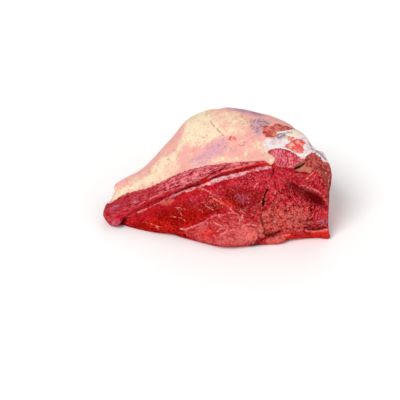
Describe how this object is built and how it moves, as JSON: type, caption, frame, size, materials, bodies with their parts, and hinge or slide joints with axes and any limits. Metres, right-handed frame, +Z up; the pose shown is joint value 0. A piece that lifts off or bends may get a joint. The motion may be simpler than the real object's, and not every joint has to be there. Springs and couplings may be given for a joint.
{
  "type": "raw beef top round",
  "caption": "Boned-out raw beef joint: a thick wedge of deep red lean meat tapering to a rounded tip, with a cream and pink fat cap over the top and a flat sole that it lies on.",
  "frame": {"origin": "on the flat sole, under the middle of the piece's box", "axes": "+X towards the thick cut end, +Y towards the fat-covered back, +Z up to the fat cap"},
  "size_m": [0.2878, 0.2052, 0.1239],
  "materials": {
    "beef": "moist satin, lean red below and cream to pink fat above"
  },
  "bodies": {
    "root": {"beef_top_round": "beef"}
  },
  "joints": []
}
